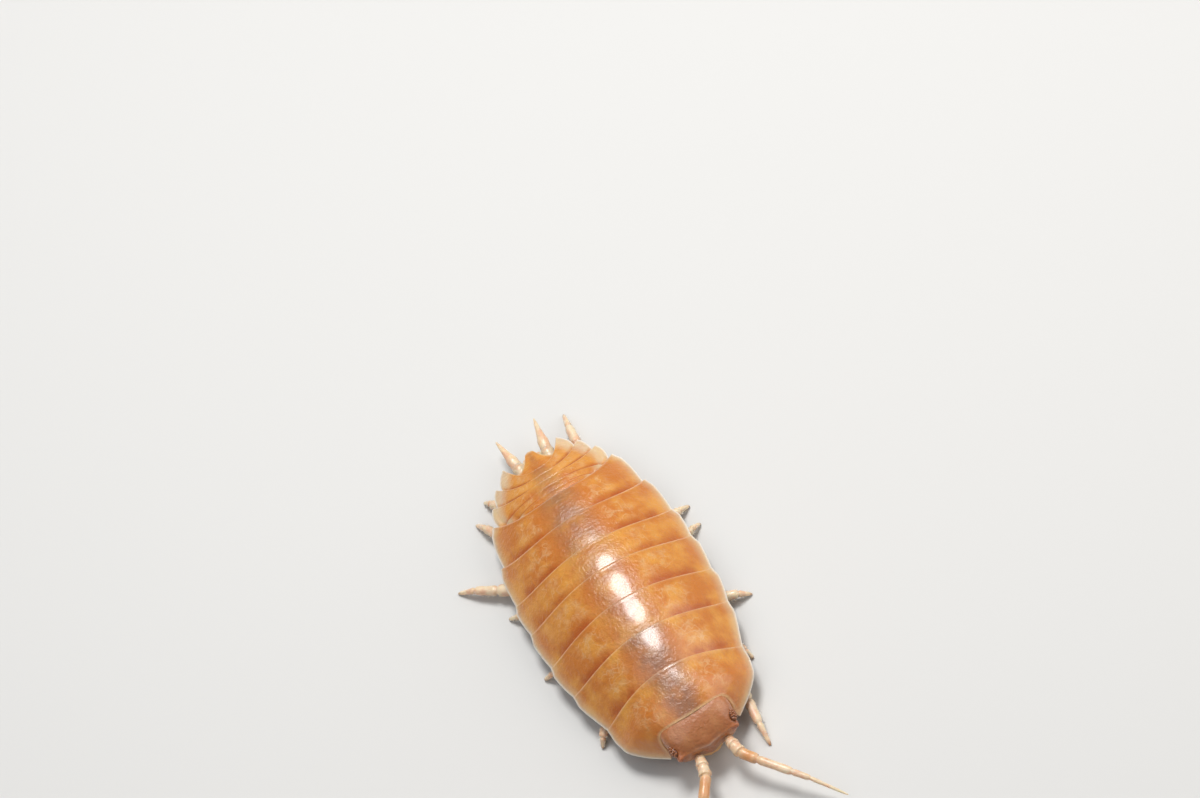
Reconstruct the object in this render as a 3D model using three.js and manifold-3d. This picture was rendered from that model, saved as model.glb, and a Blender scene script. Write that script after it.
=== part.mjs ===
// A life-size woodlouse (Porcellio laevis, the orange form) walking, in millimetres.
// +Z is up and the head points along -Y. The floor is z = 0, under the middle of the whole model.
// Along the body, places are stated as s, the distance behind the tips of the first plate's front lobes.
import * as THREE from "three";
import { mergeVertices } from "three/addons/utils/BufferGeometryUtils.js";
import Module from "manifold-3d";

const wasm = await Module();
wasm.setup();

// Driving dimensions
const GAP = 0.12; // clearance between neighbouring pieces
const EDGE_Z = 0.9; // height of the side edges of the back plates over the floor
const BELLY_Z = 1.25; // height of the flat belly over the floor
const PLATE = 0.32; // thickness of a back plate
const PLATE_LIP = 0.12; // thickness of a plate's free edge
const BELLY_SHARE = 0.56; // half-width of the belly as a share of the back's half-width
const FOOT_Z = 0.02; // height of the middle of a claw's tip, whose underside is cut level with the floor
const COLUMNS = 18; // strips across a back plate

// The back's outline seen from above and its ridge seen from the side, as [s, half-width] and [s, height
// over the edges].
const OUTLINE = [
  [0.3, 1.66], [0.89, 2.39], [1.55, 2.97], [2.1, 3.14], [2.91, 3.3], [5.07, 3.78], [6.77, 3.94],
  [8.6, 3.94], [10.15, 3.84], [12.07, 3.52], [13.95, 2.95], [14.66, 2.52], [15.36, 1.97], [16.02, 1.27], [16.6, 0.8],
];
const RIDGE = [
  [-0.5, 0.75], [0.72, 1.5], [2.81, 2.05], [4.7, 2.28], [6.42, 2.36], [8.12, 2.34], [9.52, 2.2],
  [11.19, 1.95], [12.67, 1.62], [13.73, 1.28], [14.58, 0.95], [15.8, 0.42], [16.6, 0.2],
];

// Back plates from front to rear: s of the hind edge on the midline and at its corners, how far a plate
// slides under the one before (lap), and the share of the half-width at its front corner. From the
// seventh on, a plate ends in side lobes: tip is how far out its hind corner lies, root how far out it
// comes from under the plate before, core half the width of the body under it, and ends that dive go
// under the seventh plate's lobes.
const PLATES = [
  { name: "pereonite_1", mid: 2.81, corner: 2.91, lap: 0.45, front: 1 },
  { name: "pereonite_2", mid: 4.7, corner: 5.07, lap: 0.45, front: 0.98 },
  { name: "pereonite_3", mid: 6.42, corner: 6.77, lap: 0.45, front: 0.98 },
  { name: "pereonite_4", mid: 8.12, corner: 8.6, lap: 0.45, front: 0.98 },
  { name: "pereonite_5", mid: 9.52, corner: 10.15, lap: 0.45, front: 0.98 },
  { name: "pereonite_6", mid: 11.19, corner: 12.07, lap: 0.45, front: 0.98 },
  { name: "pereonite_7", mid: 12.67, corner: 13.95, lap: 0.3, front: 0.95, tip: 2.92 },
  { name: "pleonite_1", mid: 12.99, corner: 12.99, lap: 0.2, tip: 1.8, root: 1.8, core: 1.6, dives: true },
  { name: "pleonite_2", mid: 13.36, corner: 13.36, lap: 0.2, tip: 2.35, root: 2.35, core: 1.6, dives: true },
  { name: "pleonite_3", mid: 13.76, corner: 14.68, lap: 0.2, tip: 2.5, root: 2.66, core: 1.5 },
  { name: "pleonite_4", mid: 14.17, corner: 15.4, lap: 0.2, tip: 1.98, root: 2.3, core: 1.2 },
  { name: "pleonite_5", mid: 14.6, corner: 16.06, lap: 0.2, tip: 1.3, root: 1.75, core: 0.8 },
];
const LAST_TRUNK = PLATES[6];
const TELSON_TIP = 15.85;
const TELSON_HALF = 0.95;
const TELSON_TIP_HALF = 0.2;

const COLOURS = { shell: 0xd9893e, flesh: 0xe0b283, limb: 0xe6c9a0, eye: 0x3a1c10 };
const material = (colour, roughness) =>
  new THREE.MeshStandardMaterial({ color: colour, roughness, metalness: 0 });
const MATERIALS = {
  shell: material(COLOURS.shell, 0.3),
  head: material(COLOURS.shell, 0.4),
  limb: material(COLOURS.limb, 0.45),
  flesh: material(COLOURS.flesh, 0.5),
  eye: material(COLOURS.eye, 0.2),
};

// Small helpers for numbers
const mix = (a, b, share) => a + (b - a) * share;
const clamp = (value, low, high) => Math.min(high, Math.max(low, value));
const smooth = (value) => {
  const share = clamp(value, 0, 1);
  return share * share * (3 - 2 * share);
};

// A smooth curve through [place, value] points: a cubic between neighbours, level with its ends outside
// them.
function curveThrough(points) {
  const slope = (i) => {
    const before = points[Math.max(0, i - 1)];
    const after = points[Math.min(points.length - 1, i + 1)];
    return (after[1] - before[1]) / (after[0] - before[0]);
  };
  return (place) => {
    const at = clamp(place, points[0][0], points[points.length - 1][0]);
    const i = clamp(points.findIndex((p) => p[0] > at) - 1, 0, points.length - 2);
    const last = at >= points[points.length - 1][0];
    const k = last ? points.length - 2 : i;
    const [x0, y0] = points[k];
    const [x1, y1] = points[k + 1];
    const span = x1 - x0;
    const u = (at - x0) / span;
    const h = u * u * (3 - 2 * u);
    const bend = slope(k) * span * u * (1 - u) * (1 - u) - slope(k + 1) * span * u * u * (1 - u);
    return mix(y0, y1, h) + bend;
  };
}
const halfWidth = curveThrough(OUTLINE);
const ridgeHeight = curveThrough(RIDGE);

// The arch of the back: flat-topped behind the head, a parabola further back, flaring a little at its
// edges.
function archHeight(across, s) {
  const power = 2 + smooth((2.6 - s) / 2);
  const side = Math.min(1, Math.abs(across));
  return ridgeHeight(s) * (1 - side ** power) * (1 - 0.18 * side ** 4);
}

// A point of the back's surface, sunk by depth square to the arch.
function backPoint(across, s, depth) {
  const width = halfWidth(s);
  const step = 0.01;
  const inner = clamp(Math.abs(across), step, 1 - step);
  const fall = (archHeight(inner + step, s) - archHeight(inner - step, s)) / (2 * step * width);
  const level = Math.abs(across) < step ? 0 : fall;
  const length = Math.hypot(level, 1);
  const side = Math.sign(across);
  return new THREE.Vector3(
    across * width + (side * level * depth) / length,
    s,
    EDGE_Z + archHeight(across, s) - depth / length,
  );
}

// Solids from points

// A closed mesh as a manifold-3d solid, turned right side out.
function solidOf(positions, triangles) {
  const make = (order) =>
    new wasm.Manifold(
      new wasm.Mesh({
        numProp: 3,
        vertProperties: new Float32Array(positions.flatMap((p) => [p.x, p.y, p.z])),
        triVerts: new Uint32Array(order),
      }),
    );
  const made = make(triangles);
  if (made.volume() > 0) return made;
  const turned = [];
  for (let i = 0; i < triangles.length; i += 3)
    turned.push(triangles[i], triangles[i + 2], triangles[i + 1]);
  return make(turned);
}

// The solid between an upper and a lower grid of points, rows by columns, closed round its rim.
function slab(upper, lower) {
  const rows = upper.length;
  const columns = upper[0].length;
  const count = rows * columns;
  const at = (row, column) => row * columns + column;
  const triangles = [];
  for (let r = 0; r < rows - 1; r++)
    for (let c = 0; c < columns - 1; c++) {
      const [a, b, d, e] = [at(r, c), at(r, c + 1), at(r + 1, c), at(r + 1, c + 1)];
      triangles.push(a, b, e, a, e, d);
      triangles.push(count + a, count + e, count + b, count + a, count + d, count + e);
    }
  const rim = [];
  for (let c = 0; c < columns; c++) rim.push(at(0, c));
  for (let r = 1; r < rows; r++) rim.push(at(r, columns - 1));
  for (let c = columns - 2; c >= 0; c--) rim.push(at(rows - 1, c));
  for (let r = rows - 2; r > 0; r--) rim.push(at(r, 0));
  rim.forEach((a, i) => {
    const b = rim[(i + 1) % rim.length];
    triangles.push(a, count + b, b, a, count + a, count + b);
  });
  return solidOf([...upper.flat(), ...lower.flat()], triangles);
}

// The solid through closed rings of equally many points, with a flat fan at each end.
function loft(rings) {
  const around = rings[0].length;
  const positions = rings.flat();
  const triangles = [];
  for (let r = 0; r < rings.length - 1; r++)
    for (let i = 0; i < around; i++) {
      const next = (i + 1) % around;
      const [a, b] = [r * around + i, r * around + next];
      triangles.push(a, b, b + around, a, b + around, a + around);
    }
  for (const [ring, start] of [[rings[0], 0], [rings[rings.length - 1], (rings.length - 1) * around]]) {
    const middle = ring.reduce((sum, p) => sum.add(p), new THREE.Vector3()).divideScalar(around);
    positions.push(middle);
    for (let i = 0; i < around; i++) {
      const [a, b] = [start + i, start + ((i + 1) % around)];
      if (start === 0) triangles.push(positions.length - 1, b, a);
      else triangles.push(positions.length - 1, a, b);
    }
  }
  return solidOf(positions, triangles);
}

// A three.js geometry as a manifold-3d solid.
function fromGeometry(geometry) {
  const bare = geometry.clone();
  bare.deleteAttribute("normal");
  bare.deleteAttribute("uv");
  const merged = mergeVertices(bare, 1e-4);
  return new wasm.Manifold(
    new wasm.Mesh({
      numProp: 3,
      vertProperties: merged.attributes.position.array,
      triVerts: new Uint32Array(merged.index.array),
    }),
  );
}

function ellipsoid(centre, radii, tilt = [0, 0, 0], across = 14, down = 10) {
  const geometry = new THREE.SphereGeometry(1, across, down);
  geometry.scale(...radii);
  geometry.rotateX(tilt[0]);
  geometry.rotateY(tilt[1]);
  geometry.rotateZ(tilt[2]);
  geometry.translate(...centre);
  return fromGeometry(geometry);
}

const joined = (pieces) => pieces.slice(1).reduce((sum, piece) => sum.add(piece), pieces[0]);

// The outer surface of a solid alone, so that a pocket sealed inside it is filled.
function filled(solid) {
  const shells = solid.decompose();
  return shells.reduce((best, shell) => (shell.volume() > best.volume() ? shell : best));
}

// A solid as a named mesh.
function meshOf(name, solid, look) {
  const found = solid.getMesh();
  const geometry = new THREE.BufferGeometry();
  geometry.setAttribute("position", new THREE.BufferAttribute(new Float32Array(found.vertProperties), 3));
  geometry.setIndex(new THREE.BufferAttribute(new Uint32Array(found.triVerts), 1));
  const mesh = new THREE.Mesh(geometry, look);
  mesh.name = name;
  return mesh;
}

// Back plates A hind edge bends back towards its corners. An edge gives [share of the half-width, s] at
// a place from -1 to 1.
const edgeAt = (plate, x) => mix(plate.mid, plate.corner, Math.min(1, Math.abs(x) / plate.tip) ** 3);
const edgePoint = (x, s) => [x / halfWidth(s), s];
const hindEdge = (plate) => (place) =>
  plate.tip
    ? edgePoint(plate.tip * place, edgeAt(plate, plate.tip * place))
    : [place, mix(plate.mid, plate.corner, Math.abs(place) ** 3)];

// The edge a plate comes out from under: the one before it, or in the tail whichever reaches further
// back, that or the last trunk plate's.
const coveringEdge = (plate, before) => (place) => {
  if (!plate.root) return hindEdge(before)(place);
  const x = plate.root * place;
  const covered = Math.abs(x) <= before.tip ? edgeAt(before, x) : 0;
  return edgePoint(x, Math.max(covered, edgeAt(LAST_TRUNK, x)));
};

// The first plate's front edge arches over the head and runs out in two lobes.
const FRONT_MID = 0.72;
const FRONT_SHOULDER = 0.87;
const FRONT_TIP = 0.3;
function firstFrontEdge(place) {
  const side = Math.abs(place);
  const shoulder = 0.6;
  if (side < shoulder) return [place, mix(FRONT_MID, FRONT_SHOULDER, (side / shoulder) ** 2)];
  return [place, mix(FRONT_SHOULDER, FRONT_TIP, smooth((side - shoulder) / (1 - shoulder)))];
}

// Rows of a plate from front to rear: share of the way from the edge before it to its own, and its
// thickness there.
const EMERGE_DEPTH = PLATE_LIP + GAP;
const TONGUE_DEPTH = PLATE + GAP;
const RISE_POWER = 1.4;
const laterRows = [
  { share: 0, tongue: true, thick: 0.16 },
  { share: 0, thick: 0.26 },
  { share: 0.2, thick: 0.26 },
  { share: 0.45, thick: 0.29 },
  { share: 0.7, thick: 0.3 },
  { share: 0.86, thick: 0.18 },
  { share: 1, thick: PLATE_LIP },
];
const firstRows = [0, 0.12, 0.26, 0.42, 0.6, 0.8, 0.9, 1].map((share) => ({
  share,
  thick: mix(PLATE_LIP, PLATE, smooth(Math.min(share / 0.25, (1 - share) / 0.25))),
}));

// How deep a plate's hind edge lies under the back's surface: not at all, but for ends that dive.
function sinkAt(plate, x) {
  if (!plate.dives) return 0;
  const strip = edgeAt(plate, x) - edgeAt(LAST_TRUNK, x);
  const beyond = smooth((Math.abs(x) - plate.tip) / 0.2);
  return EMERGE_DEPTH * (1 - smooth(strip / 0.25)) * (1 - beyond);
}

// The share of its width a plate reaches at a row: it swells from its front corner and rounds off at its
// hind one.
const HIND_ROUNDING = 0.025;
const TAIL_ROUNDING = 0.012;
const swell = (plate, share) =>
  mix(plate.front ?? 1, 1, Math.sin((Math.min(1, share * 1.25) * Math.PI) / 2)) -
  (plate.root ? TAIL_ROUNDING : HIND_ROUNDING) * smooth((share - 0.75) / 0.25);

function plateSolid(plate, before) {
  const front = before ? coveringEdge(plate, before) : firstFrontEdge;
  const rear = hindEdge(plate);
  const rows = before ? laterRows : firstRows;
  const tuck = before ? before.lap - GAP : 0;
  const top = (row, x) => {
    if (!before) return 0;
    const over = sinkAt(before, x);
    if (row.tongue) return TONGUE_DEPTH + over;
    return mix(sinkAt(plate, x), EMERGE_DEPTH + over, (1 - row.share) ** RISE_POWER);
  };
  const grid = (under) =>
    rows.map((row) =>
      Array.from({ length: COLUMNS + 1 }, (_, i) => {
        const place = ((2 * i) / COLUMNS - 1) * swell(plate, row.share) * (row.tongue ? 0.86 : 1);
        const [frontAcross, frontS] = front(place);
        const [rearAcross, rearS] = rear(place);
        const reach = mix(frontAcross, rearAcross, row.share);
        const s = mix(frontS, rearS, row.share);
        const depth = top(row, reach * halfWidth(s)) + (under ? row.thick : 0);
        return backPoint(reach, s - (row.tongue ? tuck : 0), depth);
      }),
    );
  return filled(slab(grid(false), grid(true)).add(coreSolid(plate, before, front, rear)));
}

// The body under a plate, from inside the plate down to the flat belly.
function coreSolid(plate, before, front, rear) {
  const start = before ? GAP - before.lap : 0.72;
  const frontShare = plate.core ? plate.core / plate.root : BELLY_SHARE;
  const rearShare = plate.core ? plate.core / plate.tip : BELLY_SHARE;
  const upper = [];
  const lower = [];
  [0, 0.33, 0.66, 1].forEach((share) => {
    const top = [];
    const under = [];
    for (let i = 0; i <= 10; i++) {
      const place = i / 5 - 1;
      const [frontAcross, frontS] = front(before ? place * frontShare : 0);
      const [rearAcross, rearS] = rear(place * rearShare);
      const reach = mix(before ? frontAcross : rearAcross, rearAcross, share);
      const s = mix(frontS + start, rearS - plate.lap, share);
      const depth = before ? mix(TONGUE_DEPTH + 0.08, 0.24, smooth(share / 0.6)) : 0.2;
      const point = backPoint(reach, s, depth);
      top.push(point);
      const droop = 0.04 * (1 - place ** 2);
      under.push(new THREE.Vector3(point.x * 0.94, s, BELLY_Z - droop));
    }
    upper.push(top);
    lower.push(under);
  });
  return slab(upper, lower);
}

// The telson: a short plate behind the last pleonite, hollow-sided with a rounded tip.
function telsonSolid(before) {
  const rows = [0, 0, 0.25, 0.5, 0.75, 0.92, 1].map((share, i) => ({
    share,
    tongue: i === 0,
    half:
      (i === 0 ? 0.8 : 1) * TELSON_HALF * (1 - share) ** 1.4 +
      TELSON_TIP_HALF * Math.min(share, 4.3 - 3.7 * share),
    top: i === 0 ? TONGUE_DEPTH : EMERGE_DEPTH * (1 - share) ** RISE_POWER,
    thick: i === 0 ? 0.12 : mix(0.3, 0.16, share),
  }));
  const grid = (under) =>
    rows.map((row) =>
      Array.from({ length: 11 }, (_, i) => {
        const x = (i / 5 - 1) * row.half;
        const s = mix(edgeAt(before, x), TELSON_TIP, row.share) - (row.tongue ? before.lap - GAP : 0);
        return new THREE.Vector3(x, s, backPoint(x / halfWidth(s), s, 0).z - row.top - (under ? row.thick : 0));
      }),
    );
  return slab(grid(false), grid(true));
}

// Head

// A superellipse ring square to the body's axis.
function headRing([s, half, top, bottom], around = 28, power = 2.5) {
  const middle = (top + bottom) / 2;
  const tall = (top - bottom) / 2;
  return Array.from({ length: around }, (_, i) => {
    const angle = (i / around) * 2 * Math.PI;
    const [c, d] = [Math.cos(angle), Math.sin(angle)];
    const x = Math.sign(c) * Math.abs(c) ** (2 / power) * half;
    const z = Math.sign(d) * Math.abs(d) ** (2 / power) * tall;
    return new THREE.Vector3(x, s, EDGE_Z + middle + z);
  });
}

// Rings of the head from the neck to the brow: s, half-width, and heights of its top and bottom over the
// plate edges.
const HEAD_RINGS = [
  [1.28, 1.05, 1.14, 0.2],
  [1.12, 1.24, 1.22, 0.05],
  [0.85, 1.36, 1.24, -0.1],
  [0.5, 1.4, 1.24, -0.18],
  [0.2, 1.41, 1.16, -0.22],
  [-0.05, 1.36, 1.02, -0.2],
  [-0.24, 1.18, 0.86, -0.12],
  [-0.38, 0.9, 0.7, 0.02],
  [-0.44, 0.55, 0.58, 0.2],
];
const EYE = { x: 1.3, s: 0.1, up: 0.72, radii: [0.15, 0.3, 0.2], tilt: [0, -0.5, -0.2] };
const mirrored = (side, [x, y, z]) => [side * x, y, z];

function eyeSolid(side, grown) {
  const tilt = [EYE.tilt[0], side * EYE.tilt[1], side * EYE.tilt[2]];
  const radii = EYE.radii.map((r) => r + grown);
  return ellipsoid(mirrored(side, [EYE.x, EYE.s, EDGE_Z + EYE.up]), radii, tilt, 12, 8);
}

function headSolid() {
  const pieces = [loft(HEAD_RINGS.map((ring) => headRing(ring)))];
  pieces.push(ellipsoid([0, -0.27, EDGE_Z + 0.62], [0.62, 0.24, 0.15], [0.35, 0, 0])); // brow's middle lobe
  for (const side of [-1, 1]) {
    pieces.push(ellipsoid([side * 1.26, -0.14, EDGE_Z + 0.5], [0.24, 0.27, 0.19], [0.3, 0, side * 0.5])); // brow's side lobe
    pieces.push(ellipsoid([side * 0.2, -0.46, EDGE_Z + 0.42], [0.1, 0.2, 0.1], [0.4, 0, 0], 8, 6)); // small first antenna
  }
  pieces.push(ellipsoid([0, -0.3, EDGE_Z + 0.06], [0.5, 0.24, 0.22])); // upper lip
  const whole = joined(pieces);
  return [-1, 1].reduce((head, side) => head.subtract(eyeSolid(side, 0.1)), whole);
}

// Mouthparts: a rounded block under the head, hollowed on top to lie along it.
function mouthSolid() {
  const roof = loft(HEAD_RINGS.map(([s, half, top, bottom]) => headRing([s, half, top, bottom - GAP])));
  return ellipsoid([0, 0.35, EDGE_Z - 0.2], [0.72, 0.72, 0.42], [0, 0, 0], 16, 10).subtract(roof);
}

// Limbs

// A jointed limb: from joint to joint each article is narrow at its ends and full in its middle, and the
// last one tapers.
function limbSolid(joints, radii, around = 8, level = false) {
  const points = joints.map((p) => new THREE.Vector3(...p));
  const rings = [];
  const ringAt = (centre, along, radius) => {
    const up = Math.abs(along.z) > 0.9 ? new THREE.Vector3(0, 1, 0) : new THREE.Vector3(0, 0, 1);
    const right = new THREE.Vector3().crossVectors(along, up).normalize();
    const top = new THREE.Vector3().crossVectors(right, along).normalize();
    rings.push(
      Array.from({ length: around }, (_, i) => {
        const angle = ((i + 0.5) / around) * 2 * Math.PI;
        return centre
          .clone()
          .addScaledVector(right, Math.cos(angle) * radius)
          .addScaledVector(top, Math.sin(angle) * radius);
      }),
    );
  };
  for (let i = 0; i < points.length - 1; i++) {
    const along = points[i + 1].clone().sub(points[i]).normalize();
    const last = i === points.length - 2;
    const before = i === 0 ? along : points[i].clone().sub(points[i - 1]).normalize();
    const turn = before.clone().add(along).normalize();
    if (i === 0 && !level) ringAt(points[0], along, radii[0] * 0.92);
    else if (i > 0) ringAt(points[i], turn, radii[i] * 0.84);
    for (const [share, full] of [[0.28, 1], [0.72, 0.98]])
      ringAt(points[i].clone().lerp(points[i + 1], share), along, mix(radii[i], radii[i + 1], share) * full);
    if (last) ringAt(points[i + 1], along, radii[i + 1]);
  }
  if (level) {
    const root = points[0];
    const flat = Array.from({ length: around }, (_, i) => {
      const near = rings[0][i];
      return new THREE.Vector3(root.x + (near.x - root.x) * 0.6, root.y + (near.y - root.y) * 0.6, root.z);
    });
    rings.unshift(hoop(root, radii[0], flat));
  }
  return loft(rings);
}

// A level ring of the root's radius whose points face those of the ring that follows it.
function hoop(root, radius, facing) {
  const first = Math.atan2(facing[0].y - root.y, facing[0].x - root.x);
  const second = Math.atan2(facing[1].y - root.y, facing[1].x - root.x);
  const turn = Math.sin(second - first) >= 0 ? 1 : -1;
  return facing.map((_, i) => {
    const angle = first + (turn * i * 2 * Math.PI) / facing.length;
    return new THREE.Vector3(root.x + Math.cos(angle) * radius, root.y + Math.sin(angle) * radius, root.z);
  });
}

// Walking legs, outward x and s of the root, the knee, the wrist and the claw, on the animal's left (+X)
// and right.
const LEG_ROOT_X = 1.3;
const LEGS = {
  left: [
    [[2.15, 2.22], [2.22, 0.97], [2.03, -1.08]],
    [[2.5, 3.97], [3.0, 3.37], [3.3, 2.77]],
    [[2.6, 5.97], [3.6, 5.67], [4.6, 5.33]],
    [[2.55, 8.47], [3.4, 8.97], [4.35, 9.42]],
    [[2.5, 9.87], [3.4, 10.12], [4.35, 10.4]],
    [[2.2, 12.07], [2.7, 12.67], [3.05, 13.37]],
    [[1.75, 14.07], [1.85, 15.47], [2.0, 17.22]],
  ],
  right: [
    [[2.1, 2.82], [2.45, 2.52], [2.4, 1.97]],
    [[2.6, 3.87], [3.2, 3.42], [3.72, 2.92]],
    [[2.5, 6.37], [3.4, 6.72], [4.26, 7.07]],
    [[2.4, 8.87], [3.3, 9.62], [4.2, 10.37]],
    [[2.6, 10.57], [4.0, 11.57], [5.4, 12.67]],
    [[2.15, 12.57], [2.8, 13.77], [3.35, 14.97]],
    [[1.65, 13.87], [2.1, 14.77], [2.6, 15.67]],
  ],
};
const LEG_ROOT_S = [2.05, 3.85, 5.65, 7.35, 8.95, 10.5, 12.1];
const LEG_HEIGHTS = [0.84, 0.52, 0.42];
const LEG_RADII = [0.3, 0.28, 0.26, 0.25, 0.2, 0.1];
const FLOOR_CUT = fromGeometry(new THREE.BoxGeometry(60, 60, 2).translate(0, 8, -1));

function legSolid(side, rootS, [knee, wrist, claw]) {
  const joints = [
    [side * LEG_ROOT_X, rootS, BELLY_Z - 0.04 - GAP],
    [side * mix(LEG_ROOT_X, knee[0], 0.45), mix(rootS, knee[1], 0.45), LEG_HEIGHTS[0]],
    [side * knee[0], knee[1], mix(LEG_HEIGHTS[0], LEG_HEIGHTS[1], 0.7)],
    [side * wrist[0], wrist[1], LEG_HEIGHTS[1] - 0.07],
    [side * mix(wrist[0], claw[0], 0.55), mix(wrist[1], claw[1], 0.55), LEG_HEIGHTS[2] - 0.05],
    [side * claw[0], claw[1], FOOT_Z],
  ];
  return limbSolid(joints, LEG_RADII, 8, true).subtract(FLOOR_CUT);
}

// Antennae: joints of the stout stalk and of the thin whip, as [outward x, s, height over the plate edges].
const ANTENNAE = {
  left: {
    stalk: [[0.73, -0.56, 0.16], [0.85, -1.28, 0.25], [1.31, -1.98, 0.25], [2.2, -3.24, 0.15]],
    whip: [[2.37, -3.47, 0.1], [3.03, -4.37, -0.18], [3.6, -5.15, -0.45]],
  },
  right: {
    stalk: [[0.62, -0.56, 0.16], [0.8, -1.4, 0.3], [1.42, -2.3, 0.25], [2.1, -3.7, 0.1]],
    whip: [[2.23, -3.95, 0.04], [2.8, -4.75, -0.22], [3.3, -5.4, -0.5]],
  },
};
const lifted = (side, points) => points.map(([x, s, up]) => [side * x, s, EDGE_Z + up]);

// Uropods: a stout base under the last pleonite, a long flat-sided lance and a small inner prong.
function uropodSolid(side) {
  const up = (height) => EDGE_Z + height;
  const base = limbSolid([[side * 0.66, 15.05, up(-0.06)], [side * 0.67, 15.72, up(-0.06)]], [0.22, 0.28]);
  const lance = limbSolid(
    [[side * 0.67, 15.6, up(-0.06)], [side * 0.76, 16.3, up(-0.05)], [side * 0.9, 17.35, up(-0.1)]],
    [0.27, 0.2, 0.06],
  );
  const prong = limbSolid([[side * 0.52, 15.4, up(-0.2)], [side * 0.28, 15.95, up(-0.26)]], [0.16, 0.07], 6);
  return joined([base, lance, prong]);
}

// Assembly
const woodlouse = new THREE.Group();
const put = (name, solid, look) => woodlouse.add(meshOf(name, solid, look));

PLATES.forEach((plate, i) => put(plate.name, plateSolid(plate, PLATES[i - 1]), MATERIALS.shell));
put("telson", telsonSolid(PLATES[PLATES.length - 1]), MATERIALS.shell);
put("head", headSolid(), MATERIALS.head);
put("mouthparts", mouthSolid(), MATERIALS.flesh);
for (const [name, side] of [["left", 1], ["right", -1]]) {
  put(`eye_${name}`, eyeSolid(side, 0), MATERIALS.eye);
  const { stalk, whip } = ANTENNAE[name];
  put(`antenna_${name}_stalk`, limbSolid(lifted(side, stalk), [0.27, 0.26, 0.25, 0.25], 10), MATERIALS.limb);
  put(`antenna_${name}_whip`, limbSolid(lifted(side, whip), [0.2, 0.17, 0.07]), MATERIALS.limb);
  put(`uropod_${name}`, uropodSolid(side), MATERIALS.limb);
  LEGS[name].forEach((bends, i) =>
    put(`leg_${name}_${i + 1}`, legSolid(side, LEG_ROOT_S[i], bends), MATERIALS.limb),
  );
}

// The origin goes to the floor under the middle of the whole model.
const extent = new THREE.Box3().setFromObject(woodlouse);
woodlouse.position.set(-(extent.min.x + extent.max.x) / 2, -(extent.min.y + extent.max.y) / 2, 0);

export default woodlouse;
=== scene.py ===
# %% [markdown]
# # An orange woodlouse, life size
# The animal is a smooth woodlouse, Porcellio laevis, 16 mm long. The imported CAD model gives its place, size
# and pose, and this lesson gives it its real surface: lapped back plates, a lobed head with grained eyes,
# jointed legs and feelers with short bristles, and a waxy orange cuticle. Lengths are in millimetres until
# a mesh is made.

import bmesh
import bpy
import numpy as np
from mathutils import Matrix, Vector


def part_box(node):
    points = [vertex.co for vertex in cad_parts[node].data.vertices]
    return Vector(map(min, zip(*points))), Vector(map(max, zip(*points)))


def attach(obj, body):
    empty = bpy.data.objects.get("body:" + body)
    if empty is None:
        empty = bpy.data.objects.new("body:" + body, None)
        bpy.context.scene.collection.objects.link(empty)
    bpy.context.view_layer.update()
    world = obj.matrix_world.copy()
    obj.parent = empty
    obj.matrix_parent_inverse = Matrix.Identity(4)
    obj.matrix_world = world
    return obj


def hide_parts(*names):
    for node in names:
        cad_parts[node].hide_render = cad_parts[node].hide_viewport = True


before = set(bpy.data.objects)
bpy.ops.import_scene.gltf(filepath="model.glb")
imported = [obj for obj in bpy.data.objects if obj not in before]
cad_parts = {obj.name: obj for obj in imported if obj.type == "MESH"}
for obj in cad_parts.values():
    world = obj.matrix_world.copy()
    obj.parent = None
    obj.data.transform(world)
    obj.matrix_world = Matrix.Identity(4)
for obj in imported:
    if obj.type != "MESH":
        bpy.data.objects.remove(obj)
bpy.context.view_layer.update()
MM = 0.001
# The height of the plates' side edges over the floor, and how far behind the front lobes the telson's tip
# is.
LEVEL = 0.9
TELSON_TIP = 15.85
telson_low, telson_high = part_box("telson")
MID_X = (telson_low.x + telson_high.x) / 2 / MM
START_Y = telson_high.y / MM - TELSON_TIP
print("midline at x", round(MID_X, 3), "mm and s = 0 at y", round(START_Y, 3), "mm")

# %% [markdown]
# ## Helpers for numbers and meshes
# Every shape below is a grid of points from a formula. A place on the animal is (x, s, z): x to its left
# from the midline, s backwards from the tips of the first plate's front lobes, and z above the floor. One
# function turns grids into a mesh, because a grid closed on itself has no open seam and its faces all turn
# one way.


# %% Number helpers
def mix(a, b, share):
    """A value between a and b: a where share is 0 and b where it is 1."""
    return a + (b - a) * share


def smooth(value):
    """An S-shaped step from 0 to 1: three times the square less twice the cube."""
    share = np.clip(value, 0, 1)
    return share * share * (3 - 2 * share)


def bell(value):
    """A bump that is 1 at 0 and falls away as the exponential of minus the square."""
    return np.exp(-np.square(value))


def round_off(value):
    """A quarter of a circle, from 1 at 0 down to 0 at 1: the root of one less the square."""
    return np.sqrt(1 - np.square(np.clip(value, 0, 1)))


def boxy_ring(angle, power):
    """A ring's sideways and upward shares: the cosine and the sine, each with its size raised to a power."""
    c, d = np.cos(angle), np.sin(angle)
    return np.sign(c) * np.abs(c) ** power, np.sign(d) * np.abs(d) ** power


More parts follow.
